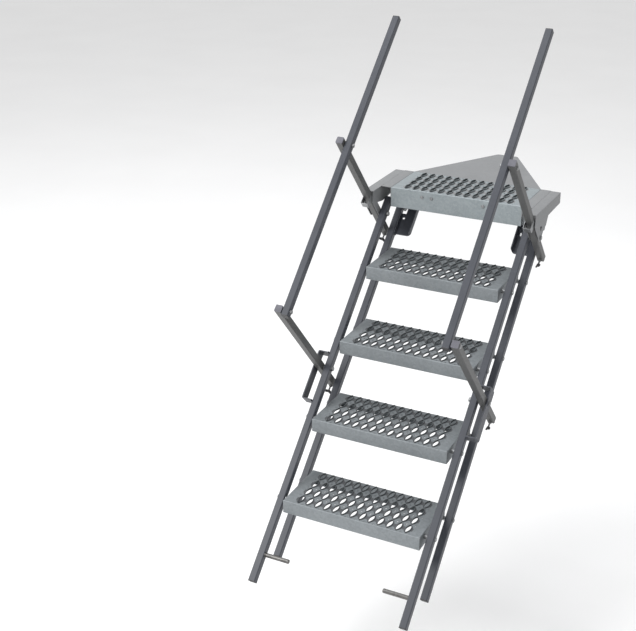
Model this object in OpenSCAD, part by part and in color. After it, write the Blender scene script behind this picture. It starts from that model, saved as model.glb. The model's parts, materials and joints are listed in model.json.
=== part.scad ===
// Boarding ladder: a deck-edge platform with hinged twin stringers, four
// self-levelling perforated treads and two handrails on folding struts.
// Frame: X across the ladder (right positive), Y towards the deck, Z up.
// Origin: middle of the tongue plate's underside, where it rests on the deck.
// Suffixes: left is -X and right is +X. Treads count upwards from the lowest.

/* [Treads] */
// Width of every tread across the ladder
tread_width = 600; // [580:2:610]
// Depth of the four moving treads, front to back
tread_depth = 265; // [262:1:275]
// Height of the front and rear flanges of a moving tread
tread_height = 58; // [56:1:64]
// Thickness of the tread sheet
sheet = 3; // [2:0.5:3.5]
// Distance between two treads, measured along the stringers
tread_pitch = 358.7; // [345:0.1:370]
// Length of one grip opening, front to back
slot_length = 56; // [44:1:56]
// Width of one grip opening at its middle
slot_width = 18; // [16:1:26]
// Height of the raised rim around each grip opening
rim_height = 5; // [3:0.5:7]

/* [Frame] */
// Outside width of the square tubes
tube = 30; // [29:0.25:30]
// Wall thickness of the square tubes
tube_wall = 2.5; // [2:0.5:4]
// Length of a front stringer below its upper pivot
front_length = 1703; // [1660:1:1760]
// Length of a rear stringer below the front stringers' upper pivot
rear_length = 1560; // [1520:1:1600]
// Length of the stub rods near the feet
stub_length = 108; // [60:1:140]
// Radius of the stub rods
stub_radius = 9; // [8:0.5:11]

/* [Handrails] */
// Length of a handrail tube
handrail_length = 1414; // [1380:1:1500]
// Distance from a strut's lower pivot to the handrail pivot
strut_reach = 526.7; // [480:0.1:560]
// Length of a strut below its pivot
strut_tail = 180; // [170:1:185]

/* [Platform] */
// Depth of the platform tread, front to back
platform_depth = 258; // [256:1:262]
// Height of the platform's front flange
platform_height = 89; // [70:1:95]
// Distance from the platform's rear edge to the tip of the tongue plate
tongue_length = 427; // [380:1:460]
// Width of the tongue plate's tip
tongue_tip = 100; // [60:1:160]
// Thickness of the tongue plate
tongue_thick = 5; // [4:0.5:6]

/* [Hidden] */

$fn = 48;
slope = 43.65;            // stringers above the horizontal
lean = 2.85;              // struts against the stringers' normal
uy = -462;                // upper pivot of the front stringers
uz = -118;
xs = 330;                 // stringer centre plane
xh = 335;                 // handrail centre plane
xp = 368;                 // strut centre plane
rear_s = 120;             // rear pivot line along the stringers
rear_n = -150;            // rear pivot line across the stringers
low_s = -760;             // lower strut pivot on the front stringer
piv_y = 49.4;             // front pivot of a tread behind its front edge
piv_z = 22;               // front pivot of a tread below its top
top_z = tongue_thick;     // walking surface of the platform
front_y = -195 - platform_depth;
bolt_r = 5;
big_r = 6;
run = 0.05;               // running clearance of a pivot
slack = 0.09;             // clearance of the pivots that close a loop
half_w = tread_width / 2;

dy = cos(slope);
dz = sin(slope);
// rear pivot of a tread, seen from its front pivot
gap_y = rear_s * dy - rear_n * dz;
gap_z = rear_s * dz + rear_n * dy;

steel = [0.36, 0.38, 0.42];
zinc = [0.66, 0.69, 0.71];
plastic = [0.12, 0.12, 0.13];
bright = [0.72, 0.73, 0.75];

// Places children drawn as X, distance up the stringers, distance above them
module on_slope(s = 0, n = 0) {
  translate([0, uy, uz]) rotate([slope, 0, 0]) translate([0, s, n]) children();
}

// Places children drawn around a strut pivot: Z up the strut, Y to its back
module on_strut(s = 0) {
  on_slope(s, 0) rotate([-lean, 0, 0]) children();
}

module side(right) {
  if (right) children();
  else mirror([1, 0, 0]) children();
}

module both() {
  children();
  mirror([1, 0, 0]) children();
}

module rounded(w, r) {
  square([w - 2 * r, w], center = true);
  square([w, w - 2 * r], center = true);
  for (i = [-1, 1], j = [-1, 1])
    translate([i * (w / 2 - r), j * (w / 2 - r)]) circle(r);
}

// Hollow square tube along +Z from the origin
module tube_z(l) {
  linear_extrude(height = l) difference() {
    rounded(tube, 3.5);
    rounded(tube - 2 * tube_wall, 1.2);
  }
}

module tube_y(l) {
  rotate([-90, 0, 0]) tube_z(l);
}

// Cylinder along X between two X positions
module bar_x(x0, x1, r) {
  translate([x0, 0, 0]) rotate([0, 90, 0]) cylinder(r = r, h = x1 - x0);
}

module hex_x(x0, x1, r) {
  translate([x0, 0, 0]) rotate([0, 90, 0]) cylinder(r = r, h = x1 - x0, $fn = 6);
}

module bore_x(x, r) {
  translate([x - 60, 0, 0]) rotate([0, 90, 0]) cylinder(r = r, h = 120);
}

// Tube plug: a flange on the tube's end and a spigot inside it, along +Z
module plug_z(depth = 15) {
  translate([0, 0, -depth]) linear_extrude(height = depth) rounded(tube - 2 * tube_wall - 0.4, 1);
  linear_extrude(height = 4) rounded(tube, 3.5);
}

// Plan outline of one grip opening: a pointed oval between two arcs
module opening(grow) {
  a = slot_width / 2 + grow;
  b = slot_length / 2 + grow;
  r = (a * a + b * b) / (2 * a);
  intersection() {
    translate([r - a, 0]) circle(r);
    translate([a - r, 0]) circle(r);
  }
}

module openings(grow, pitch) {
  for (i = [-6 : 6], j = [0 : 3])
    translate([i * 39.4, 38.5 + j * pitch]) opening(grow);
}

// Perforated C-section tread: front top edge at Y 0, Z 0
module tread_body(depth, h_front, h_rear, pitch) {
  translate([0, 0, -sheet]) linear_extrude(height = sheet) difference() {
    translate([-half_w, 0]) square([tread_width, depth]);
    openings(0, pitch);
  }
  linear_extrude(height = rim_height) difference() {
    openings(2, pitch);
    openings(0, pitch);
  }
  translate([-half_w, 0, -h_front]) cube([tread_width, sheet, h_front - sheet]);
  translate([-half_w, depth - sheet, -h_rear]) cube([tread_width, sheet, h_rear - sheet]);
  translate([-half_w + sheet, sheet, -h_front]) cube([tread_width - 2 * sheet, 14, sheet]);
  translate([-half_w + sheet, depth - sheet - 14, -h_rear]) cube([tread_width - 2 * sheet, 14, sheet]);
  both() translate([half_w - sheet, sheet, -h_rear]) cube([sheet, depth - 2 * sheet, h_rear - sheet]);
}

// ---- platform ----

module platform_tread() {
  color(zinc) difference() {
    translate([0, front_y, top_z]) tread_body(platform_depth, platform_height, platform_height, 61);
    for (x = [-153, -109, 128, 172])
      translate([x, front_y - 5, -22]) rotate([-90, 0, 0]) cylinder(r = 4.1, h = 20);
    for (x = [-240, -80, 80, 240])
      translate([x, -195 - 15, -24]) rotate([-90, 0, 0]) cylinder(r = 4.1, h = 20);
    both() translate([half_w, front_y + 60, -20]) bore_x(0, 4.1);
    both() translate([half_w, front_y + 200, -20]) bore_x(0, 4.1);
  }
}

// Round-headed bolt along +Y with its head at Y 0 and below
module flange_bolt(l) {
  translate([0, -4, 0]) rotate([-90, 0, 0]) cylinder(r = 8, h = 4);
  rotate([-90, 0, 0]) cylinder(r = 4, h = l);
  translate([0, l - 7, 0]) rotate([-90, 0, 0]) cylinder(r = 7.5, h = 7, $fn = 6);
}

module platform_bolts() {
  color(bright) for (x = [-153, -109, 128, 172])
    translate([x, front_y, -22]) flange_bolt(sheet + 7);
}

module tongue_plate() {
  color(zinc) difference() {
    union() {
      linear_extrude(height = tongue_thick)
        polygon([[-half_w, -195], [half_w, -195], [tongue_tip / 2, -195 + tongue_length], [-tongue_tip / 2, -195 + tongue_length]]);
      translate([-half_w + 15, -195, -40]) cube([tread_width - 30, 4, 40]);
    }
    for (x = [-240, -80, 80, 240])
      translate([x, -210, -24]) rotate([-90, 0, 0]) cylinder(r = 4.1, h = 30);
  }
}

module tongue_bolts() {
  color(bright) for (x = [-240, -80, 80, 240])
    translate([x, -191, -24]) mirror([0, 1, 0]) flange_bolt(4 + sheet + 7);
}

module wing_cover() {
  translate([half_w + 3, front_y, top_z - 3]) cube([347 - half_w - 3, 258, 3]);
  difference() {
    translate([half_w, front_y, -43]) cube([3, 258, 43 + top_z]);
    translate([half_w, front_y + 60, -20]) bore_x(0, 4.1);
    translate([half_w, front_y + 200, -20]) bore_x(0, 4.1);
  }
  translate([half_w + 3, front_y + 255, -43]) cube([347 - half_w - 3, 3, 40 + top_z]);
}

// Bolts that clamp the covers and hangers to the platform's side flanges
module wing_bolts() {
  color(bright) both() for (p = [[front_y + 60, half_w + 10], [front_y + 200, half_w + 15]])
    translate([0, p[0], -20]) {
      bar_x(half_w - sheet - 4, half_w - sheet, 8);
      bar_x(half_w - sheet, p[1], 4);
      hex_x(p[1] - 7, p[1], 7.5);
    }
}

module wing_cover_left() { color(zinc) side(false) wing_cover(); }
module wing_cover_right() { color(zinc) side(true) wing_cover(); }

// Points around the upper pivot that follow the struts' direction
wy = cos(90 + slope - lean);
wz = sin(90 + slope - lean);
by = -cos(180 + slope - lean);
bz = -sin(180 + slope - lean);
function strut_point(along, back) = [uy + along * wy + back * by, uz + along * wz + back * bz];

// Extrudes a side outline drawn in Y and Z between two X positions
module side_plate(x0, x1) {
  translate([x0, 0, 0]) rotate([90, 0, 90]) linear_extrude(height = x1 - x0) children();
}

module gusset() {
  translate([347, -540, top_z - 3]) cube([44, 340, 3]);
  translate([350, -203, -43]) cube([38, 3, 43 + top_z - 3]);
  side_plate(388, 391) difference() {
    union() {
      polygon([[-540, top_z - 3], [-200, top_z - 3], [-200, -43], [-365, -47], [-392, -84],
        strut_point(0, 16), strut_point(0, -16), strut_point(110, -16)]);
      translate([uy, uz]) circle(16);
    }
    polygon([[-472, -64], [-446, -72], [-463, -93]]);
    translate([uy, uz]) circle(big_r + run);
  }
  side_plate(347, 350) difference() {
    union() {
      polygon([[-540, top_z - 3], [-200, top_z - 3], [-200, -43], [-437, -68],
        strut_point(64, 15), strut_point(0, 15), strut_point(0, -15), strut_point(110, -15)]);
      translate([uy, uz]) circle(15);
    }
    translate([uy, uz]) circle(big_r + run);
  }
}

module gusset_left() { color(zinc) side(false) gusset(); }
module gusset_right() { color(zinc) side(true) gusset(); }

ry = uy + gap_y;
rz = uz + gap_z;

module hanger() {
  side_plate(half_w + 3, half_w + 8) difference() {
    polygon([[ry - 50, -4], [ry + 45, -4], [ry + 19, rz - 8], [ry + 10, rz - 18],
      [ry - 10, rz - 18], [ry - 19, rz - 8]]);
    translate([ry, rz]) circle(big_r + run);
    translate([front_y + 200, -20]) circle(4.1);
  }
}

module hanger_left() { color(zinc) side(false) hanger(); }
module hanger_right() { color(zinc) side(true) hanger(); }

module upper_pivot_bolts() {
  color(bright) both() translate([0, uy, uz]) {
    bar_x(xs - 25, 391, big_r);
    hex_x(391, 397, 10);
    hex_x(xs - 25, xs - 17, 10);
  }
}

module rear_pivot_bolts() {
  color(bright) both() translate([0, ry, rz]) {
    bar_x(half_w - 5, xs + 18, big_r);
    hex_x(xs + 15.5, xs + 20.5, 10);
    hex_x(half_w - 5, half_w + 3, 10);
  }
}

// ---- front stringers ----

module front_stringer() {
  difference() {
    translate([xs, 0, 0]) on_slope(-front_length, 0) tube_y(front_length + 75);
    on_slope() bore_x(xs, big_r + run);
    on_slope(low_s) bore_x(xs, big_r + run);
    for (i = [1 : 4]) on_slope(tread_s(i)) bore_x(xs, bolt_r + run);
  }
}

stub_s = -front_length + 114;
function tread_s(i) = -268.7 - (4 - i) * tread_pitch;

module front_stringer_left() { color(steel) side(false) front_stringer(); }
module front_stringer_right() { color(steel) side(true) front_stringer(); }

module front_plugs() {
  color(plastic) both() translate([xs, 0, 0]) {
    on_slope(-front_length) rotate([90, 0, 0]) plug_z();
    on_slope(75) rotate([-90, 0, 0]) plug_z();
  }
}

module stub_rods() {
  color(steel) both() on_slope(stub_s) {
    bar_x(xs - 15 - stub_length, xs - tube / 2 - 3, stub_radius);
    // bevelled root, welded to the stringer's inner face
    translate([xs - tube / 2 - 3, 0, 0]) rotate([0, 90, 0])
      cylinder(r1 = stub_radius, r2 = stub_radius - 3, h = 3);
  }
}

module strut_bracket() {
  on_slope() {
    translate([386, -921, -25]) difference() {
      cube([5, 225, 50]);
      translate([0, 921 + low_s, 25]) bore_x(0, big_r + run);
    }
    translate([xs + tube / 2, -921, -25]) cube([386 - xs - tube / 2, 5, 50]);
    translate([xs + tube / 2, -701, -25]) cube([386 - xs - tube / 2, 5, 50]);
  }
}

module strut_bracket_left() { color(steel) side(false) strut_bracket(); }
module strut_bracket_right() { color(steel) side(true) strut_bracket(); }

module lower_pivot_bolts() {
  color(bright) both() on_slope(low_s) {
    bar_x(xs - 24, 391, big_r);
    hex_x(391, 397, 10);
    hex_x(xs - 24, xs - 15, 10);
  }
}

// ---- rear stringers ----

module rear_stringer() {
  difference() {
    translate([xs, 0, 0]) on_slope(-rear_length, rear_n) tube_y(rear_length + rear_s + 35);
    on_slope(rear_s, rear_n) bore_x(xs, big_r + run);
    for (i = [1 : 4]) on_slope(tread_s(i) + rear_s, rear_n) bore_x(xs, bolt_r + slack);
  }
}

module rear_stringer_left() { color(steel) side(false) rear_stringer(); }
module rear_stringer_right() { color(steel) side(true) rear_stringer(); }

module rear_plugs() {
  color(plastic) both() translate([xs, 0, 0]) {
    on_slope(-rear_length, rear_n) rotate([90, 0, 0]) plug_z();
    on_slope(rear_s + 35, rear_n) rotate([-90, 0, 0]) plug_z();
  }
}

// Channel on the inner side of each rear stringer, with one bolt hole
module hook_plate() {
  on_slope(-23, rear_n) difference() {
    union() {
      translate([238, 0, -2.5]) cube([73, 107, 5]);
      translate([xs - 19, 0, -14]) cube([4, 107, 28]);
      translate([238, 107, -2.5]) cube([52, 66, 5]);
      translate([238, 0, 2.5]) cube([5, 173, 20]);
    }
    translate([296, 84, -10]) cylinder(r = 5.5, h = 20);
    translate([238, 0, -10]) difference() {
      translate([-1, -1, 0]) cube([19, 19, 34]);
      translate([18, 18, -1]) cylinder(r = 18, h = 36);
    }
  }
}

module hook_plate_left() { color(steel) side(false) hook_plate(); }
module hook_plate_right() { color(steel) side(true) hook_plate(); }

// ---- treads ----

module at_tread(i) {
  translate([0, uy + tread_s(i) * dy, uz + tread_s(i) * dz]) children();
}

module tread(i) {
  color(zinc) at_tread(i) difference() {
    translate([0, -piv_y, piv_z]) tread_body(tread_depth, tread_height, tread_height, 64);
    both() bore_x(half_w, bolt_r + run);
    both() translate([0, gap_y, gap_z]) bore_x(half_w, bolt_r + run);
  }
}

module tread_bolt() {
  bar_x(half_w - 10, xs + 18, bolt_r);
  hex_x(xs + 15.5, xs + 20.5, 8.5);
  hex_x(half_w - 10, half_w - sheet, 8.5);
  difference() {
    bar_x(half_w, xs - 15.5, 9);
    bar_x(half_w - 1, xs, bolt_r);
  }
}

module tread_bolts(i) {
  color(bright) at_tread(i) both() {
    tread_bolt();
    translate([0, gap_y, gap_z]) tread_bolt();
  }
}

module tread_1() { tread(1); }
module tread_2() { tread(2); }
module tread_3() { tread(3); }
module tread_4() { tread(4); }
module tread_1_bolts() { tread_bolts(1); }
module tread_2_bolts() { tread_bolts(2); }
module tread_3_bolts() { tread_bolts(3); }
module tread_4_bolts() { tread_bolts(4); }

// ---- struts ----

top_upper = strut_reach + 29;
top_lower = strut_reach + 11;

// Strut with its welded nut for the lock screw
module strut(top) {
  difference() {
    translate([xp, 0, -strut_tail]) tube_z(strut_tail + top);
    bore_x(xp, big_r + run);
    translate([0, 0, strut_reach]) bore_x(xp, bolt_r);
    translate([xp, 0, 15 - strut_tail]) rotate([90, 0, 0]) cylinder(r = 4 + run, h = 30);
  }
  translate([xp, -15, 15 - strut_tail]) rotate([90, 0, 0]) difference() {
    cylinder(r = 8, h = 7, $fn = 6);
    translate([0, 0, -1]) cylinder(r = 4 + run, h = 9, $fn = 48);
  }
}

module strut_caps(top, depth) {
  translate([xp, 0, top]) plug_z(depth);
}

module upper_strut_left() { color(steel) side(false) on_strut() strut(top_upper); }
module upper_strut_right() { color(steel) side(true) on_strut() strut(top_upper); }
module lower_strut_left() { color(steel) side(false) on_strut(low_s) strut(top_lower); }
module lower_strut_right() { color(steel) side(true) on_strut(low_s) strut(top_lower); }
module upper_caps_left() { color(plastic) side(false) on_strut() strut_caps(top_upper, 15); }
module upper_caps_right() { color(plastic) side(true) on_strut() strut_caps(top_upper, 15); }
module lower_caps_left() { color(plastic) side(false) on_strut(low_s) strut_caps(top_lower, 4.5); }
module lower_caps_right() { color(plastic) side(true) on_strut(low_s) strut_caps(top_lower, 4.5); }

// Buffer clip folded around the front of each upper strut
module strut_clip() {
  translate([350.7, -45, 112]) difference() {
    cube([34.6, 50, 30]);
    translate([2.3, 3, -1]) cube([30, 48, 32]);
  }
}

module strut_clip_left() { color(bright) side(false) on_strut() strut_clip(); }
module strut_clip_right() { color(bright) side(true) on_strut() strut_clip(); }

module rail_bolt() {
  translate([0, 0, strut_reach]) {
    bar_x(xh - 22, xp + 20, bolt_r);
    hex_x(xp + 15, xp + 20, 8.5);
    hex_x(xh - 22, xh - 15.5, 8.5);
    difference() {
      bar_x(xh + 15.5, xp - 15, 9);
      bar_x(xh, xp, bolt_r);
    }
  }
}

module upper_bolt_left() { color(bright) side(false) on_strut() rail_bolt(); }
module upper_bolt_right() { color(bright) side(true) on_strut() rail_bolt(); }
module lower_bolt_left() { color(bright) side(false) on_strut(low_s) rail_bolt(); }
module lower_bolt_right() { color(bright) side(true) on_strut(low_s) rail_bolt(); }

// ---- handrails ----

rail_s = strut_reach * sin(lean);
rail_n = strut_reach * cos(lean);
rail_low = low_s + rail_s - 20;

module handrail() {
  difference() {
    translate([xh, 0, 0]) on_slope(rail_low, rail_n) tube_y(handrail_length);
    on_slope(rail_s, rail_n) bore_x(xh, bolt_r + run);
    on_slope(low_s + rail_s, rail_n) bore_x(xh, bolt_r + slack);
  }
}

module handrail_caps() {
  translate([xh, 0, 0]) {
    on_slope(rail_low, rail_n) rotate([90, 0, 0]) end_cap();
    on_slope(rail_low + handrail_length, rail_n) rotate([-90, 0, 0]) end_cap();
  }
}

// Thin cap with a short spigot that stays clear of the nearest pivot bolt
module end_cap() {
  translate([0, 0, -9]) linear_extrude(height = 9) rounded(tube - 2 * tube_wall - 0.4, 1);
  linear_extrude(height = 3) rounded(tube, 3.5);
}

module handrail_left() { color(steel) side(false) handrail(); }
module handrail_right() { color(steel) side(true) handrail(); }
module handrail_caps_left() { color(plastic) side(false) handrail_caps(); }
module handrail_caps_right() { color(plastic) side(true) handrail_caps(); }

// ---- lock screws ----

module lock_screw() {
  translate([xp, -15, 15 - strut_tail]) rotate([90, 0, 0]) rotate([0, 0, 45]) {
    translate([0, 0, -20]) cylinder(r = 4, h = 50);
    translate([0, 0, 24]) cylinder(r = 7, h = 10);
    translate([0, 2.5, 30]) rotate([90, 0, 0]) linear_extrude(height = 5) {
      for (i = [-1, 1]) translate([i * 10.5, 0]) circle(6);
      square([21, 9], center = true);
    }
  }
}

module lock_screw_upper_left() { color(plastic) side(false) on_strut() lock_screw(); }
module lock_screw_upper_right() { color(plastic) side(true) on_strut() lock_screw(); }
module lock_screw_lower_left() { color(plastic) side(false) on_strut(low_s) lock_screw(); }
module lock_screw_lower_right() { color(plastic) side(true) on_strut(low_s) lock_screw(); }

platform_tread();
platform_bolts();
tongue_plate();
tongue_bolts();
wing_cover_left();
wing_cover_right();
wing_bolts();
gusset_left();
gusset_right();
hanger_left();
hanger_right();
upper_pivot_bolts();
rear_pivot_bolts();
front_stringer_left();
front_stringer_right();
front_plugs();
stub_rods();
strut_bracket_left();
strut_bracket_right();
lower_pivot_bolts();
rear_stringer_left();
rear_stringer_right();
rear_plugs();
hook_plate_left();
hook_plate_right();
tread_1();
tread_2();
tread_3();
tread_4();
tread_1_bolts();
tread_2_bolts();
tread_3_bolts();
tread_4_bolts();
upper_strut_left();
upper_strut_right();
lower_strut_left();
lower_strut_right();
upper_caps_left();
upper_caps_right();
lower_caps_left();
lower_caps_right();
strut_clip_left();
strut_clip_right();
upper_bolt_left();
upper_bolt_right();
lower_bolt_left();
lower_bolt_right();
handrail_left();
handrail_right();
handrail_caps_left();
handrail_caps_right();
lock_screw_upper_left();
lock_screw_upper_right();
lock_screw_lower_left();
lock_screw_lower_right();
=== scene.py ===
import json
import math
import random

import bmesh
import bpy
from mathutils import Matrix, Vector
from mathutils.geometry import tessellate_polygon


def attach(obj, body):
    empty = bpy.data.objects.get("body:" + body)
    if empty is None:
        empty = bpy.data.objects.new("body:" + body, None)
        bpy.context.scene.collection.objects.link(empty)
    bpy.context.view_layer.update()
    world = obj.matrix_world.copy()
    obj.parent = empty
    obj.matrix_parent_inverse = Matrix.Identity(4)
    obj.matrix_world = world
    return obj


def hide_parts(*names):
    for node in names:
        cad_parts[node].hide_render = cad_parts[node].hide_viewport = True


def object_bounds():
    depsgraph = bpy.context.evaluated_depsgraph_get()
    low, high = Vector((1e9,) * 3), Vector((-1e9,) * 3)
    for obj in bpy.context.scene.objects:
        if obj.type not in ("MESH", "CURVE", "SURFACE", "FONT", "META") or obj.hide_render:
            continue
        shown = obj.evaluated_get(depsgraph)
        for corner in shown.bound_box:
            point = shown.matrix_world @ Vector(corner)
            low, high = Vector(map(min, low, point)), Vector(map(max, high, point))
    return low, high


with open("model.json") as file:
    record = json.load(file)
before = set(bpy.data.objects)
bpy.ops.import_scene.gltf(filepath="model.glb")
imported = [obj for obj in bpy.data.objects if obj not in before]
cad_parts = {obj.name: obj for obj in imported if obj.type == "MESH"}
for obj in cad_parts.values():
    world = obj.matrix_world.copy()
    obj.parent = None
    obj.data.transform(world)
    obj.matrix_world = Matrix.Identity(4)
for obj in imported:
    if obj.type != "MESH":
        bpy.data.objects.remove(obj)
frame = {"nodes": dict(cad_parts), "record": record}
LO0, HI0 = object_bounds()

S = 0.001
SLOPE, LEAN = math.radians(43.65), math.radians(2.85)
UY, UZ = -462.0, -118.0
XS, XH, XP = 330.0, 335.0, 368.0
REAR_S, REAR_N, LOW_S = 120.0, -150.0, -760.0
DY, DZ = math.cos(SLOPE), math.sin(SLOPE)
GAP_Y, GAP_Z = REAR_S * DY - REAR_N * DZ, REAR_S * DZ + REAR_N * DY
REACH, TAIL = 526.7, 180.0
HALF, TOP, FRONT_Y = 300.0, 5.0, -453.0
SHEET = 3.0


def T(x, y, z):
    return Matrix.Translation((x, y, z))


def RX(a):
    return Matrix.Rotation(a, 4, "X")


def on_slope(s=0.0, n=0.0):
    return T(0, UY, UZ) @ RX(SLOPE) @ T(0, s, n)


def on_strut(s=0.0):
    return on_slope(s, 0) @ RX(-LEAN)


def tread_s(i):
    return -268.7 - (4 - i) * 358.7


def at_tread(i):
    return T(0, UY + tread_s(i) * DY, UZ + tread_s(i) * DZ)


LEFT = Matrix.Diagonal((-1, 1, 1, 1))
# columns: profile u, profile v, extrusion axis
YZX = Matrix(((0, 0, 1, 0), (1, 0, 0, 0), (0, 1, 0, 0), (0, 0, 0, 1)))
XZY = Matrix(((1, 0, 0, 0), (0, 0, 1, 0), (0, 1, 0, 0), (0, 0, 0, 1)))


# ---------------------------------------------------------------- materials
def rgb(r, g, b):
    return (r, g, b, 1.0)


class Mat:
    def __init__(self, name):
        self.m = bpy.data.materials.new(name)
        self.m.use_nodes = True
        self.nt = self.m.node_tree
        self.b = self.nt.nodes["Principled BSDF"]
        self.co = self.nt.nodes.new("ShaderNodeTexCoord").outputs["Object"]

    def n(self, kind, **kw):
        node = self.nt.nodes.new(kind)
        for k, v in kw.items():
            setattr(node, k, v)
        return node

    def link(self, a, b):
        self.nt.links.new(a, b)

    def noise(self, scale, detail=4.0, rough=0.55, stretch=None):
        node = self.n("ShaderNodeTexNoise")
        node.inputs["Scale"].default_value = scale
        node.inputs["Detail"].default_value = detail
        node.inputs["Roughness"].default_value = rough
        if stretch:
            mp = self.n("ShaderNodeMapping")
            mp.inputs["Scale"].default_value = stretch
            self.link(self.co, mp.inputs["Vector"])
            self.link(mp.outputs["Vector"], node.inputs["Vector"])
        else:
            self.link(self.co, node.inputs["Vector"])
        return node.outputs["Fac"]

    def ramp(self, fac, stops):
        node = self.n("ShaderNodeValToRGB")
        r = node.color_ramp
        while len(r.elements) < len(stops):
            r.elements.new(0.5)
        for e, (p, c) in zip(r.elements, stops):
            e.position = p
            e.color = c if len(c) == 4 else (*c, 1.0)
        self.link(fac, node.inputs["Fac"])
        return node.outputs["Color"]

    def span(self, fac, a, b, lo=0.0, hi=1.0):
        node = self.n("ShaderNodeMapRange")
        for k, v in (("From Min", lo), ("From Max", hi), ("To Min", a), ("To Max", b)):
            node.inputs[k].default_value = v
        self.link(fac, node.inputs["Value"])
        return node.outputs["Result"]

    def mix(self, fac, a, b, mode="MIX"):
        node = self.n("ShaderNodeMix", data_type="RGBA", blend_type=mode)
        if isinstance(fac, float):
            node.inputs["Factor"].default_value = fac
        else:
            self.link(fac, node.inputs["Factor"])
        for sock, v in ((node.inputs["A"], a), (node.inputs["B"], b)):
            pass
        for idx, v in ((6, a), (7, b)):
            if isinstance(v, tuple):
                node.inputs[idx].default_value = v
            else:
                self.link(v, node.inputs[idx])
        return node.outputs[2]

    def math(self, op, a, b):
        node = self.n("ShaderNodeMath", operation=op)
        for i, v in enumerate((a, b)):
            if isinstance(v, (int, float)):
                node.inputs[i].default_value = v
            else:
                self.link(v, node.inputs[i])
        return node.outputs[0]

    def edges(self, radius):
        """1 on convex and concave edges, 0 on flats."""
        bev = self.n("ShaderNodeBevel", samples=4)
        bev.inputs["Radius"].default_value = radius
        geo = self.n("ShaderNodeNewGeometry")
        dot = self.n("ShaderNodeVectorMath", operation="DOT_PRODUCT")
        self.link(bev.outputs["Normal"], dot.inputs[0])
        self.link(geo.outputs["Normal"], dot.inputs[1])
        return self.span(dot.outputs["Value"], 0.0, 1.0, 0.995, 0.85)

    def bump(self, height, strength, distance):
        node = self.n("ShaderNodeBump")
        node.inputs["Strength"].default_value = strength
        node.inputs["Distance"].default_value = distance
        self.link(height, node.inputs["Height"])
        self.link(node.outputs["Normal"], self.b.inputs["Normal"])

    def set(self, **kw):
        for k, v in kw.items():
            sock = self.b.inputs[k.replace("_", " ")]
            if isinstance(v, (int, float, tuple)):
                sock.default_value = v
            else:
                self.link(v, sock)


def galvanised(name, dark, light, metallic, rough, spangle=0.5):
    m = Mat(name)
    warp = m.n("ShaderNodeTexNoise")
    warp.inputs["Scale"].default_value = 45
    m.link(m.co, warp.inputs["Vector"])
    add = m.n("ShaderNodeVectorMath", operation="MULTIPLY_ADD")
    m.link(warp.outputs["Color"], add.inputs[0])
    add.inputs[1].default_value = (0.006, 0.006, 0.006)
    m.link(m.co, add.inputs[2])
    vor = m.n("ShaderNodeTexVoronoi")
    vor.inputs["Scale"].default_value = 120
    m.link(add.outputs[0], vor.inputs["Vector"])
    sep = m.n("ShaderNodeSeparateColor")
    m.link(vor.outputs["Color"], sep.inputs["Color"])
    flake = sep.outputs["Red"]
    cloud = m.noise(7, 5, 0.6)
    fine = m.noise(420, 3, 0.6)
    tone = m.math("ADD", m.math("MULTIPLY", flake, spangle), m.math("MULTIPLY", cloud, 1.0 - spangle))
    tone = m.math("ADD", tone, m.math("MULTIPLY", m.math("SUBTRACT", fine, 0.5), 0.22))
    base = m.ramp(tone, [(0.15, dark), (0.85, light)])
    run = m.noise(9, 4, 0.65, (1.0, 1.0, 0.25))
    base = m.mix(m.span(run, 0.0, 0.16, 0.56, 0.76), base, rgb(*[c * 0.72 for c in dark]))
    edge = m.edges(0.0012)
    base = m.mix(m.math("MULTIPLY", edge, 0.45), base, rgb(*[min(1, c * 1.25) for c in light]))
    m.set(Base_Color=base, Metallic=metallic,
          Roughness=m.span(tone, rough - 0.07, rough + 0.10))
    m.bump(m.math("ADD", m.math("MULTIPLY", flake, 0.35), fine), 0.22, 0.0004)
    return m.m


def coated(name, dark, light, rough, metal=0.0, wear=0.55):
    m = Mat(name)
    grain = m.noise(900, 2, 0.5)
    cloud = m.noise(9, 4, 0.6)
    mark = m.noise(60, 6, 0.75, (1.0, 0.35, 0.35))
    base = m.ramp(m.math("ADD", m.math("MULTIPLY", cloud, 0.7), m.math("MULTIPLY", grain, 0.3)),
                  [(0.3, dark), (0.72, light)])
    base = m.mix(m.span(mark, 0.0, 0.35, 0.60, 0.72), base, rgb(*[min(1, c * 1.7) for c in light]))
    edge = m.math("MULTIPLY", m.edges(0.0014), m.span(m.noise(38, 5, 0.7), 0.0, 1.0, 0.42, 0.66))
    base = m.mix(m.math("MULTIPLY", edge, wear), base, rgb(0.42, 0.44, 0.46))
    m.set(Base_Color=base, Metallic=metal, Roughness=m.span(cloud, rough - 0.05, rough + 0.10))
    m.b.inputs["Specular IOR Level"].default_value = 0.45
    m.bump(grain, 0.30, 0.00022)
    return m.m


def zinc_bright(name, dark, light):
    m = Mat(name)
    cloud = m.noise(60, 4, 0.6)
    brush = m.noise(500, 3, 0.5, (0.2, 1.0, 1.0))
    base = m.ramp(m.math("ADD", m.math("MULTIPLY", cloud, 0.6), m.math("MULTIPLY", brush, 0.4)),
                  [(0.3, dark), (0.7, light)])
    m.set(Base_Color=base, Metallic=0.85, Roughness=m.span(cloud, 0.30, 0.46))
    m.bump(brush, 0.2, 0.0002)
    return m.m


def plastic(name, dark, light):
    m = Mat(name)
    grain = m.noise(700, 3, 0.6)
    cloud = m.noise(30, 4, 0.6)
    m.set(Base_Color=m.ramp(cloud, [(0.3, dark), (0.75, light)]), Metallic=0.0,
          Roughness=m.span(grain, 0.46, 0.62))
    m.bump(grain, 0.35, 0.0003)
    return m.m


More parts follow.
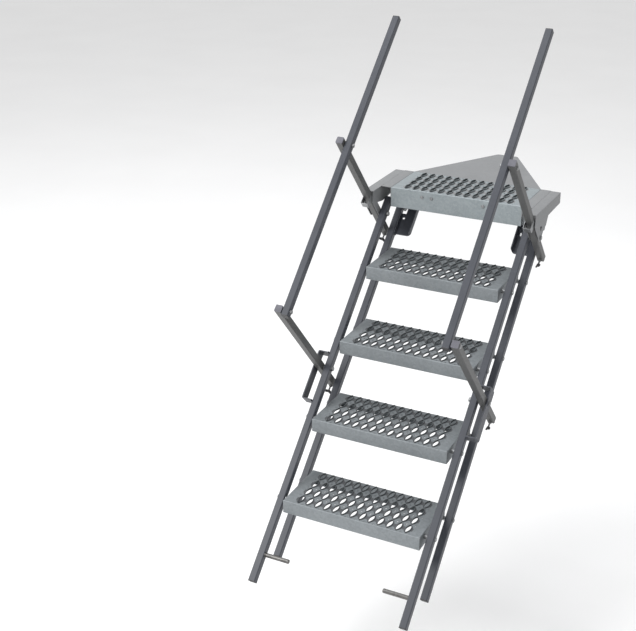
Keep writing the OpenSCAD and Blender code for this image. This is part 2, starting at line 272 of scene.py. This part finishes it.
GALV = galvanised("galvanised_sheet", (0.255, 0.288, 0.302), (0.345, 0.382, 0.398), 0.45, 0.46, 0.40)
# painted shade: very dark copy of the galvanised sheet for the steep rim and wall faces of the openings
RIM_WALL_SHADE = galvanised("galvanised_rim_wall_painted_shade", (0.055, 0.062, 0.066), (0.105, 0.115, 0.121), 0.35, 0.55, 0.3)
# painted shade: dark copy of the galvanised sheet for the flat sheet round each opening
LAND_SHADE = galvanised("galvanised_land_painted_shade", (0.080, 0.084, 0.090), (0.130, 0.135, 0.143), 0.40, 0.52, 0.3)
# painted shade: darker copy of the galvanised sheet for treads 1 to 4, standing in for their shading
TREAD_SHADE = galvanised("galvanised_tread_painted_shade", (0.200, 0.218, 0.230), (0.275, 0.298, 0.312), 0.45, 0.48, 0.40)
PLATE = galvanised("galvanised_plate", (0.215, 0.220, 0.226), (0.275, 0.281, 0.288), 0.30, 0.56, 0.25)
PAINT = coated("slate_powder_coat", (0.040, 0.044, 0.056), (0.060, 0.065, 0.080), 0.42)
STRUT = coated("warm_grey_powder_coat", (0.070, 0.071, 0.071), (0.100, 0.101, 0.100), 0.42)
BOLT = zinc_bright("zinc_fastener", (0.17, 0.175, 0.18), (0.36, 0.365, 0.37))
ROD = zinc_bright("bare_steel_rod", (0.085, 0.083, 0.080), (0.20, 0.195, 0.19))
BLACK = plastic("black_plastic", (0.018, 0.018, 0.020), (0.040, 0.040, 0.044))
CAPGREY = plastic("grey_plastic", (0.095, 0.095, 0.115), (0.150, 0.150, 0.175))
MATS = {"galvanised": GALV, "plate": PLATE, "paint": PAINT, "strut_paint": STRUT,
        "fasteners": BOLT, "plastic": BLACK}
SLOTS = {r["node"]: r["material_slot"] for r in frame["record"]["subparts"]}
BODY = {n: b for b, ns in frame["record"]["behaviour"]["bodies"].items() for n in ns}


# ---------------------------------------------------------------- mesh code
class Mesh:
    """Vertices in millimetres and faces, gathered before one object is made."""

    def __init__(self):
        self.v, self.f = [], []

    def add(self, verts, faces, m=None):
        o = len(self.v)
        for p in verts:
            p = Vector(p)
            self.v.append(m @ p if m is not None else p)
        self.f += [tuple(i + o for i in f) for f in faces]
        return self

    def make(self, name, node, mat=None, reps=(), sharp=32, bevel=0.0, segs=2, weld=True, slot=None, body=None, second=None):
        me = bpy.data.meshes.new(name)
        me.from_pydata([tuple(p * S) for p in self.v], [], self.f)
        bm = bmesh.new()
        bm.from_mesh(me)
        if weld:
            bmesh.ops.remove_doubles(bm, verts=bm.verts, dist=2e-6)
        bmesh.ops.dissolve_degenerate(bm, dist=1e-7, edges=bm.edges)
        bmesh.ops.recalc_face_normals(bm, faces=bm.faces)
        bm.to_mesh(me)
        bm.free()
        for p in me.polygons:
            p.use_smooth = True
        me.set_sharp_from_angle(angle=math.radians(sharp))
        o = bpy.data.objects.new(name, me)
        bpy.context.scene.collection.objects.link(o)
        slot = slot or SLOTS[node]
        me.materials.append(mat or MATS[slot])
        if second:
            for extra in second[0]:
                me.materials.append(extra)
            for p in me.polygons:
                p.material_index = int(second[1](p))
        if bevel:
            b = o.modifiers.new("edge", "BEVEL")
            b.width = bevel * S
            b.segments = segs
            b.limit_method = "ANGLE"
            b.angle_limit = math.radians(40)
            b.harden_normals = True
        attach(o, body or BODY[node])
        if reps is not None:
            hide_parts(*(reps or (node,)))
        return o


def extrude(outline, a0, a1, holes=()):
    """Prism over a closed outline with holes; caps are triangulated."""
    loops = [list(outline)] + [list(h) for h in holes]
    flat = [p for l in loops for p in l]
    n = len(flat)
    verts = [(p[0], p[1], a0) for p in flat] + [(p[0], p[1], a1) for p in flat]
    tris = tessellate_polygon([[Vector((p[0], p[1], 0)) for p in l] for l in loops])
    faces = [tuple(reversed(t)) for t in tris] + [tuple(i + n for i in t) for t in tris]
    o = 0
    for l in loops:
        k = len(l)
        for i in range(k):
            j = (i + 1) % k
            faces.append((o + i, o + j, o + j + n, o + i + n))
        o += k
    return verts, faces


def ring(cx, cy, r, n=40):
    return [(cx + r * math.cos(2 * math.pi * i / n), cy + r * math.sin(2 * math.pi * i / n)) for i in range(n)]


def lathe(profile, n=36, sides=None):
    """Turns (radius, height) pairs round the Z axis; sides is not used."""
    verts, faces = [], []
    k = len(profile)
    for i in range(n):
        a = 2 * math.pi * i / n
        for r, z in profile:
            verts.append((r * math.cos(a), r * math.sin(a), z))
    for i in range(n):
        j = (i + 1) % n
        for q in range(k - 1):
            faces.append((i * k + q, j * k + q, j * k + q + 1, i * k + q + 1))
    return verts, faces


def hexagon(r, h, cut=1.2):
    """Hexagon head standing on Z 0, its top corners turned off by a cone."""
    verts, faces = [], []
    n = 36
    flat = r * math.cos(math.pi / 6)

    def rad(a, lim):
        b = (a + math.pi / 6) % (math.pi / 3) - math.pi / 6
        return min(flat / math.cos(b), lim)
    levels = [(0.0, r), (h - cut * 1.1, r), (h - cut * 0.5, r * 0.965), (h, flat * 0.95)]
    for i in range(n):
        a = 2 * math.pi * i / n
        for z, lim in levels:
            rr = rad(a, lim)
            verts.append((rr * math.cos(a), rr * math.sin(a), z))
    k = len(levels)
    for i in range(n):
        j = (i + 1) % n
        for q in range(k - 1):
            faces.append((i * k + q, j * k + q, j * k + q + 1, i * k + q + 1))
    verts += [(0, 0, 0), (0, 0, h)]
    for i in range(n):
        j = (i + 1) % n
        faces.append((n * k, j * k, i * k))
        faces.append((n * k + 1, i * k + k - 1, j * k + k - 1))
    return verts, faces


def disc(r, h, z=0.0, c=0.5, hole=0.0):
    """Washer or round head with turned edges."""
    p = [(hole, z), (r - c, z), (r, z + c), (r, z + h - c), (r - c, z + h), (hole, z + h)]
    if hole:
        p.append(p[0])
    return lathe(p, 36)


def shaft(r, z0, z1, c=0.6):
    return lathe([(0, z0), (r - c, z0), (r, z0 + c), (r, z1 - c), (r - c, z1), (0, z1)], 28)


def x_axis(x, y=0.0, z=0.0, flip=False):
    """Takes +Z of a turned piece to +X, or to -X."""
    return T(x, y, z) @ Matrix.Rotation(math.radians(-90 if flip else 90), 4, "Y")


def bead(points, r, seed, closed=False):
    """Weld bead along a path, with ripples."""
    rnd = random.Random(seed)
    verts, faces = [], []
    k = 10
    pts = [Vector(p) for p in points]
    n = len(pts)
    for i, p in enumerate(pts):
        a = pts[(i + 1) % n] if closed or i < n - 1 else p
        b = pts[i - 1] if closed or i > 0 else p
        d = (a - b).normalized()
        u = d.cross(Vector((0, 0, 1)))
        if u.length < 0.2:
            u = d.cross(Vector((0, 1, 0)))
        u.normalize()
        w = d.cross(u)
        rr = r * (1.0 + 0.16 * (i % 2) + rnd.uniform(-0.10, 0.10))
        if not closed and i in (0, n - 1):
            rr *= 0.35
        for q in range(k):
            t = 2 * math.pi * q / k
            verts.append(p + (u * math.cos(t) + w * math.sin(t)) * rr)
    for i in range(n if closed else n - 1):
        j = (i + 1) % n
        for q in range(k):
            q2 = (q + 1) % k
            faces.append((i * k + q, j * k + q, j * k + q2, i * k + q2))
    if not closed:
        faces.append(tuple(range(k)))
        faces.append(tuple((n - 1) * k + q for q in reversed(range(k))))
    return verts, faces


def line(a, b, step=2.4):
    a, b = Vector(a), Vector(b)
    n = max(2, int((b - a).length / step))
    return [a.lerp(b, i / n) for i in range(n + 1)]


# ---------------------------------------------------------------- treads
SLOT_A, SLOT_B = 9.0, 28.0
CX = 19.7
STEPS = 11


def slot_loop(g, z):
    """Pointed oval between two arcs, grown by g; runs round from the near tip."""
    a, b = SLOT_A + g, SLOT_B + min(g, 1.7)
    r = (a * a + b * b) / (2 * a)
    t = math.asin(b / r)
    right = [(a - r + r * math.cos(q), r * math.sin(q), z) for q in [-t + 2 * t * k / STEPS for k in range(STEPS + 1)]]
    left = [(-x, -y, z) for x, y, _ in right]
    return right[:-1] + left[:-1]


def cell_loop(cy, z):
    """The cell's outline, with one point for each point of slot_loop."""
    out = []
    for x, y, _ in slot_loop(0.0, z):
        q = y / SLOT_B
        if abs(q) > 0.999:
            out.append((0.0, math.copysign(cy, y), z))
        elif abs(q) > 0.80:
            out.append((math.copysign(CX, x) * (1 - abs(q)) / 0.2, math.copysign(cy, y), z))
        else:
            out.append((math.copysign(CX, x), cy * q / 0.80, z))
    return out


RIM = [(5.2, 0.0), (4.5, 0.3), (3.8, 1.1), (3.2, 2.3), (2.6, 3.5), (1.8, 4.4), (1.1, 4.85), (0.45, 4.75), (0.08, 4.2), (0.0, 3.2)]


def tread_mesh(depth, h, first, pitch, m):
    """Perforated C-section tread: front top edge at Y 0, Z 0."""
    me = Mesh()
    cy = pitch / 2
    loops = [cell_loop(cy, 0.0), slot_loop(8.2, 0.0)] + [slot_loop(g, z) for g, z in RIM] + [slot_loop(0.0, -SHEET), cell_loop(cy, -SHEET)]
    k = len(loops[0])
    faces = []
    for a in range(len(loops) - 1):
        for i in range(k):
            j = (i + 1) % k
            faces.append((a * k + i, a * k + j, (a + 1) * k + j, (a + 1) * k + i))
    flat = [p for l in loops for p in l]
    for col in range(-6, 7):
        for row in range(4):
            me.add(flat, faces, m @ T(col * 39.4, first + row * pitch, 0))
    y0, y1 = first - cy, first + 3 * pitch + cy
    gx = 6.5 * 39.4
    R = 2.5
    for za in (0.0, -SHEET):
        for (xa, xb, ya, yb) in ((-gx, gx, R, y0), (-gx, gx, y1, depth - R)):
            me.add([(xa, ya, za), (xb, ya, za), (xb, yb, za), (xa, yb, za)], [(0, 1, 2, 3)], m)

    def bend(cx, cz, a0, a1, r, n=5):
        return [(cx + r * math.cos(math.radians(a0 + (a1 - a0) * i / n)),
                 cz + r * math.sin(math.radians(a0 + (a1 - a0) * i / n))) for i in range(n + 1)]
    # front and rear flanges with their bent edges and turned-in lips, drawn in Y and Z
    prof = ([(R, -SHEET), (R, 0.0)] + bend(R, -R, 90, 180, R)[1:] + bend(R, -h + R, 180, 270, R)
            + [(17.0, -h), (17.0, -h + SHEET), (SHEET, -h + SHEET), (SHEET, -SHEET)])
    v, f = extrude(prof, -HALF, HALF)
    me.add(v, f, m @ YZX)
    back = [(depth - a, b) for a, b in prof]
    v, f = extrude(back, -HALF, HALF)
    me.add(v, f, m @ YZX)
    # side plates with the margin of the sheet, drawn in X and Z
    side = ([(gx, -SHEET), (gx, 0.0), (HALF - R, 0.0)] + bend(HALF - R, -R, 90, 0, R)[1:]
            + [(HALF, -h), (HALF - SHEET, -h), (HALF - SHEET, -SHEET)])
    for mirror in (Matrix.Identity(4), LEFT):
        v, f = extrude(side, R, depth - R)
        me.add(v, f, m @ mirror @ XZY)
    return me


def formed(m, first, pitch, land=LAND_SHADE):
    """Picks the faces of the opening rims and their inner walls, which get a dark painted shade, and the flat sheet
    round each opening, which gets the land's painted shade.
    """
    inv = m.inverted()

    def test(p):
        q = inv @ (p.center / S)
        if abs(q.x) > 262 or q.z < -SHEET + 0.05:
            return False
        row = (q.y - first) / pitch
        if not -0.5 < row < 3.5:
            return False
        x = (q.x + 19.7) % 39.4 - 19.7
        y = q.y - first - round(row) * pitch
        a, b = 19.2, 30.0
        rr = (a * a + b * b) / (2 * a)
        if abs(y) > 29.7 or abs(x) + rr - a > math.sqrt(max(0.0, rr * rr - y * y)):
            return 0
        if abs(p.normal.z) < 0.8:
            return 1
        return 2 if q.z < 0.6 else 0
    return (RIM_WALL_SHADE, land), test


# treads 1 to 4 take the darker painted-shade copy of the galvanised sheet
for i in range(1, 5):
    tread_mesh(265.0, 58.0, 38.5, 64.0, at_tread(i) @ T(0, -49.4, 22.0)).make(
        f"tread_{i}_formed", f"tread_{i}", mat=TREAD_SHADE, sharp=40, second=formed(at_tread(i) @ T(0, -49.4, 22.0), 38.5, 64.0))
tread_mesh(258.0, 89.0, 38.5, 61.0, T(0, FRONT_Y, TOP)).make(
    "platform_tread_formed", "platform_tread", sharp=40, second=formed(T(0, FRONT_Y, TOP), 38.5, 61.0, PLATE))

# ---------------------------------------------------------------- platform sheet parts
v, f = extrude([(-300, -194.6), (300, -194.6), (52, 226), (44, 232), (-44, 232), (-52, 226)], 0, 5)
pl = Mesh().add(v, f)
v, f = extrude([(-195, -40), (-191, -40), (-191, -0.0), (-195, -0.0)], -285, 285)
pl.add(v, f, YZX)
pl.make("tongue_plate_cut", "tongue_plate", bevel=0.9, segs=3)


def wing(side):
    m = LEFT if side == "left" else Matrix.Identity(4)
    w = Mesh()
    R = 2.6
    arc = [(300.4 + R - R * math.cos(math.radians(a)), 5 - R + R * math.sin(math.radians(a))) for a in (0, 22, 45, 68, 90)]
    v, f = extrude([(300.4, -43)] + arc + [(346.2, 5), (346.2, 2), (303.4, 2), (303.4, -43)], -452.6, -195.4)
    w.add(v, f, m @ XZY)
    v, f = extrude([(303.4, -43), (346.2, -43), (346.2, 1.8), (303.4, 1.8)], -198.4, -195.4)
    w.add(v, f, m @ XZY)
    w.make(f"wing_cover_{side}_folded", f"wing_cover_{side}", bevel=0.7)


WY, WZ = math.cos(math.pi / 2 + SLOPE - LEAN), math.sin(math.pi / 2 + SLOPE - LEAN)
BY, BZ = -math.cos(math.pi + SLOPE - LEAN), -math.sin(math.pi + SLOPE - LEAN)


def sp(along, back):
    return (UY + along * WY + back * BY, UZ + along * WZ + back * BZ)


def arc_end(r):
    """Rounded lower end of a gusset, from the strut's back edge round to its front edge."""
    a0 = math.atan2(BZ, BY)
    return [(UY + r * math.cos(a0 - math.pi * i / 10), UZ + r * math.sin(a0 - math.pi * i / 10)) for i in range(11)]


def gusset(side):
    m = LEFT if side == "left" else Matrix.Identity(4)
    g = Mesh()
    outer = [(-540, 2), (-200, 2), (-200, -43), (-365, -47), (-392, -84)] + arc_end(16) + [sp(110, -16)]
    tri = [(-472, -64), (-446, -72), (-463, -93)]
    v, f = extrude(outer, 388, 391, [tri, ring(UY, UZ, 6.2, 28)])
    g.add(v, f, m @ YZX)
    inner = [(-540, 2), (-200, 2), (-200, -43), (-437, -68), sp(64, 15)] + arc_end(15) + [sp(110, -15)]
    v, f = extrude(inner, 347, 350, [ring(UY, UZ, 6.2, 28)])
    g.add(v, f, m @ YZX)
    R = 2.6
    arc = [(391 - R + R * math.cos(math.radians(a)), 5 - R + R * math.sin(math.radians(a))) for a in (90, 68, 45, 22, 0)]
    v, f = extrude([(347, 2), (347, 5)] + arc + [(391, 2)], -540, -200)
    g.add(v, f, m @ XZY)
    v, f = extrude([(350, -43), (388, -43), (388, 2), (350, 2)], -203, -200)
    g.add(v, f, m @ XZY)
    g.make(f"gusset_{side}_folded", f"gusset_{side}", bevel=0.7)


for side in ("left", "right"):
    wing(side)
    gusset(side)

# ---------------------------------------------------------------- fasteners
def bolt_x(me, m, shank, head, nut, r, hr, wr, spacer=None):
    """Bolt along X. shank, head, nut and spacer are X intervals."""
    me.add(*shaft(r, shank[0], shank[1]), m @ x_axis(0))
    for (a, b), out in ((head, head[0] < shank[0] + 1 and head[1] < shank[1] - 12), (nut, nut[1] > shank[1] - 12)):
        h = b - a
        t = min(1.4, h * 0.25)
        if out and a < (shank[0] + shank[1]) / 2:
            me.add(*hexagon(hr, h - t), m @ x_axis(b - t, flip=True))
            me.add(*disc(wr, t, 0, 0.3), m @ x_axis(b - t))
        else:
            me.add(*hexagon(hr, h - t), m @ x_axis(a + t))
            me.add(*disc(wr, t, 0, 0.3), m @ x_axis(a))
    if spacer:
        me.add(*lathe([(r + 0.05, spacer[0]), (8.6, spacer[0]), (9, spacer[0] + 0.4), (9, spacer[1] - 0.4),
                       (8.6, spacer[1]), (r + 0.05, spacer[1]), (r + 0.05, spacer[0])], 36), m @ x_axis(0))


def both(fn):
    me = Mesh()
    for m in (Matrix.Identity(4), LEFT):
        fn(me, m)
    return me


def tb(me, m, base):
    for dy, dz in ((0, 0), (GAP_Y, GAP_Z)):
        bolt_x(me, m @ base @ T(0, dy, dz), (291, 350), (290, 297), (345.5, 350.5), 4.95, 8.5, 9.6, (300, 314.5))


for i in range(1, 5):
    both(lambda me, m: tb(me, m, at_tread(i))).make(f"tread_{i}_hex_bolts", f"tread_{i}_bolts", sharp=25)
both(lambda me, m: bolt_x(me, m @ T(0, UY, UZ), (306, 396), (305, 313), (391, 397), 5.9, 10, 11)).make(
    "upper_pivot_hex_bolts", "upper_pivot_bolts", sharp=25)
both(lambda me, m: bolt_x(me, m @ T(0, UY + GAP_Y, UZ + GAP_Z), (296, 350), (295, 303), (345.5, 350.5), 5.9, 10, 11)).make(
    "rear_pivot_hex_bolts", "rear_pivot_bolts", sharp=25)
both(lambda me, m: bolt_x(me, m @ on_slope(LOW_S), (307, 396), (306, 315), (391, 397), 5.9, 10, 11)).make(
    "lower_pivot_hex_bolts", "lower_pivot_bolts", sharp=25)
for side in ("left", "right"):
    mm = LEFT if side == "left" else Matrix.Identity(4)
    for lv, s0 in (("upper", 0.0), ("lower", LOW_S)):
        me = Mesh()
        bolt_x(me, mm @ on_strut(s0) @ T(0, 0, REACH), (314, 387), (313, 319.5), (383, 388), 4.95, 8.5, 9.6, (350.5, 353))
        me.make(f"{lv}_hex_bolt_{side}", f"{lv}_bolt_{side}", sharp=25)


def flange_bolts(name, node, rows):
    """Round-headed bolts; rows of (point under the head, direction, grip length)."""
    me = Mesh()
    for p, d, l in rows:
        q = Vector(d).to_track_quat("Z", "Y").to_matrix().to_4x4()
        m = T(*p) @ q
        me.add(*lathe([(0, -4.2), (3.5, -4.1), (6.0, -3.2), (7.6, -1.6), (8.0, -0.5), (7.8, 0), (0, 0)], 36), m)
        me.add(*shaft(4.0, 0, l), m)
        me.add(*hexagon(7.5, 6.0), m @ T(0, 0, l - 7))
        me.add(*disc(8.6, 1.0, 0, 0.2), m @ T(0, 0, l - 8))
    me.make(name, node, sharp=25)


flange_bolts("platform_round_bolts", "platform_bolts", [((x, FRONT_Y, -22), (0, 1, 0), 10) for x in (-153, -109, 128, 172)])
flange_bolts("tongue_round_bolts", "tongue_bolts", [((x, -191, -24), (0, -1, 0), 14) for x in (-240, -80, 80, 240)])
rows = []
for sx in (-1, 1):
    for y, x in ((FRONT_Y + 60, 310), (FRONT_Y + 200, 315)):
        rows.append(((sx * 297, y, -20), (sx, 0, 0), x - 297))
if "wing_bolts" in BODY:
    flange_bolts("wing_round_bolts", "wing_bolts", rows)

# ---------------------------------------------------------------- stub rods, brackets, clips
def rods(me, m):
    b = m @ on_slope(-1703 + 114)
    me.add(*lathe([(0, 207), (7.4, 207), (9, 208.6), (9, 316), (0, 316)], 36), b @ x_axis(0))
    pts = [(314.0, 9.6 * math.cos(t), 9.6 * math.sin(t)) for t in [2 * math.pi * k / 26 for k in range(26)]]
    me.add(*bead(pts, 2.0, 5, True), b)


both(rods).make("stub_rods_welded", "stub_rods", mat=ROD, sharp=30)


def bracket(side):
    m = (LEFT if side == "left" else Matrix.Identity(4)) @ on_slope()
    me = Mesh()
    R = 7.0
    n = 6

    def arc(cx, cy, a0, a1, r):
        return [(cx + r * math.cos(math.radians(a0 + (a1 - a0) * i / n)), cy + r * math.sin(math.radians(a0 + (a1 - a0) * i / n))) for i in range(n + 1)]
    out = [(345, -921)] + arc(391 - R, -921 + R, -90, 0, R) + arc(391 - R, -696 - R, 0, 90, R) + [(345, -696)]
    inn = [(345, -701)] + arc(391 - R, -696 - R, 90, 0, R - 5) + arc(391 - R, -921 + R, 0, -90, R - 5) + [(345, -916)]
    v, f = extrude(out + inn, -25, 25)
    me.add(v, f, m)
    me.make(f"strut_bracket_{side}_bent", f"strut_bracket_{side}", bevel=0.8)
    w = Mesh()
    for s0 in (-922.2, -694.8):
        w.add(*bead(line((346.4, s0, -24), (346.4, s0, -13)), 1.9, 11), m)
        w.add(*bead(line((346.0, s0, -13), (346.0, s0, 13)), 2.1, 12), m)
        w.add(*bead(line((346.4, s0, 13), (346.4, s0, 24)), 1.9, 13), m)
    w.make(f"strut_bracket_{side}_welds", f"strut_bracket_{side}", reps=None, sharp=60)


def clip(side):
    m = (LEFT if side == "left" else Matrix.Identity(4)) @ on_strut()
    R = 3.4

    def arc(cx, cy, a0, a1, r, n=5):
        return [(cx + r * math.cos(math.radians(a0 + (a1 - a0) * i / n)), cy + r * math.sin(math.radians(a0 + (a1 - a0) * i / n))) for i in range(n + 1)]
    x0, x1, y0, y1 = 350.7, 385.3, -45, 5
    out = [(x0, y1)] + arc(x0 + R, y0 + R, 180, 270, R) + arc(x1 - R, y0 + R, 270, 360, R) + [(x1, y1)]
    inn = [(x1 - 2.3, y1)] + arc(x1 - R, y0 + R, 360, 270, R - 2.3) + arc(x0 + R, y0 + R, 270, 180, R - 2.3) + [(x0 + 2.3, y1)]
    v, f = extrude(out + inn, 112, 142)
    Mesh().add(v, f, m).make(f"strut_clip_{side}_bent", f"strut_clip_{side}", bevel=0.5)


for side in ("left", "right"):
    bracket(side)
    clip(side)

# ---------------------------------------------------------------- lock screws
def ellipsoid(rx, ry, rz, p=2.0, n=22, k=14):
    verts, faces = [(0, 0, -rz)], []

    def sg(x, e):
        return math.copysign(abs(x) ** e, x)
    for j in range(1, k):
        t = math.pi * j / k - math.pi / 2
        for i in range(n):
            a = 2 * math.pi * i / n
            verts.append((rx * sg(math.cos(t), 2 / p) * sg(math.cos(a), 2 / p), ry * sg(math.cos(t), 2 / p) * sg(math.sin(a), 2 / p), rz * sg(math.sin(t), 2 / p)))
    verts.append((0, 0, rz))
    for i in range(n):
        i2 = (i + 1) % n
        faces.append((0, 1 + i2, 1 + i))
        for j in range(k - 2):
            faces.append((1 + j * n + i, 1 + j * n + i2, 1 + (j + 1) * n + i2, 1 + (j + 1) * n + i))
        faces.append((1 + (k - 2) * n + i, 1 + (k - 2) * n + i2, len(verts) - 1))
    return verts, faces


for side in ("left", "right"):
    mm = LEFT if side == "left" else Matrix.Identity(4)
    for lv, s0 in (("upper", 0.0), ("lower", LOW_S)):
        base = mm @ on_strut(s0) @ T(XP, -15, 15 - TAIL) @ RX(math.pi / 2) @ Matrix.Rotation(math.radians(45), 4, "Z")
        th = Mesh()
        prof = [(0, -20)]
        z = -20.0
        while z < 24.0:
            prof += [(3.25, z), (3.95, z + 0.5), (3.95, z + 0.75)]
            z += 1.25
        prof += [(3.9, 24.2), (0, 24.2)]
        th.add(*lathe(prof, 24), base)
        th.make(f"lock_screw_{lv}_{side}_thread", f"lock_screw_{lv}_{side}", mat=BOLT, sharp=50, slot="fasteners", reps=None)
        kn = Mesh()
        kn.add(*lathe([(0, 24), (6.4, 24), (7.0, 24.8), (7.2, 28), (6.6, 32.6), (5.4, 34.4), (3.0, 35), (0, 35)], 32), base)
        for sx in (-1, 1):
            kn.add(*ellipsoid(7.6, 2.9, 6.2, 2.5), base @ T(sx * 9.6, 0, 31.4) @ Matrix.Rotation(math.radians(-sx * 24), 4, "Y"))
        kn.make(f"lock_screw_{lv}_{side}_wings", f"lock_screw_{lv}_{side}", sharp=60)

# ---------------------------------------------------------------- CAD nodes that stay
for name, o in frame["nodes"].items():
    mat = MATS[SLOTS[name]]
    if name.startswith(("upper_caps", "lower_caps")):
        mat = CAPGREY
    o.data.materials.clear()
    o.data.materials.append(mat)

# ---------------------------------------------------------------- stage, light, camera
ground = LO0.z - 0.45  # clear of the feet at the steepest slope
bm = bmesh.new()
w = 60.0
vs = [bm.verts.new((x, y, ground)) for x, y in ((-w, -w), (w, -w), (w, w), (-w, w))]
bm.faces.new(vs)
me = bpy.data.meshes.new("floor")
bm.to_mesh(me)
bm.free()
floor = bpy.data.objects.new("floor", me)
bpy.context.scene.collection.objects.link(floor)
fm = Mat("pale_floor")
fm.set(Base_Color=fm.ramp(fm.noise(1.3, 3, 0.5), [(0.3, (0.955, 0.955, 0.957)), (0.7, (0.975, 0.975, 0.977))]), Roughness=0.9)
me.materials.append(fm.m)

world = bpy.data.worlds.new("studio")
bpy.context.scene.world = world
world.use_nodes = True
world.node_tree.nodes["Background"].inputs[0].default_value = (1.0, 1.0, 1.0, 1.0)
lp = world.node_tree.nodes.new("ShaderNodeLightPath")
ms = world.node_tree.nodes.new("ShaderNodeMapRange")
ms.inputs["To Min"].default_value = 0.72
ms.inputs["To Max"].default_value = 1.0
world.node_tree.links.new(lp.outputs["Is Camera Ray"], ms.inputs["Value"])
world.node_tree.links.new(ms.outputs["Result"], world.node_tree.nodes["Background"].inputs[1])


def area(name, loc, target, size, power, colour=(1, 1, 1)):
    d = bpy.data.lights.new(name, "AREA")
    d.shape = "DISK"
    d.size = size
    d.energy = power
    d.color = colour
    o = bpy.data.objects.new(name, d)
    o.location = loc
    o.rotation_mode = "QUATERNION"
    o.rotation_quaternion = (Vector(target) - Vector(loc)).to_track_quat("-Z", "Y")
    bpy.context.scene.collection.objects.link(o)


area("key", (-3.8, -5.2, 3.8), (0, -0.9, -0.4), 3.0, 275, (1.0, 1.0, 0.99))
area("top", (-1.5, 0.5, 6.0), (0, -0.9, -0.4), 6.0, 230, (0.97, 0.98, 1.0))

cam_data = bpy.data.cameras.new("camera")
cam = bpy.data.objects.new("camera", cam_data)
bpy.context.scene.collection.objects.link(cam)
cam_data.lens = 68.525
cam_data.sensor_width = 36.0
cam_data.clip_start, cam_data.clip_end = 0.05, 100.0
eye, look = Vector((1.7649, -5.1306, 1.6595)), Vector((-0.4031, -0.965, -0.4303))
fwd = (look - eye).normalized()
az, roll = math.radians(27.49), math.radians(-0.48)
r0 = Vector((math.cos(az), math.sin(az), 0))
u0 = r0.cross(fwd)
right = r0 * math.cos(roll) + u0 * math.sin(roll)
up = -r0 * math.sin(roll) + u0 * math.cos(roll)
m = Matrix((right, up, -fwd)).transposed().to_4x4()
m.translation = eye
cam.matrix_world = m
bpy.context.scene.camera = cam
bpy.context.scene.view_settings.view_transform = "Standard"
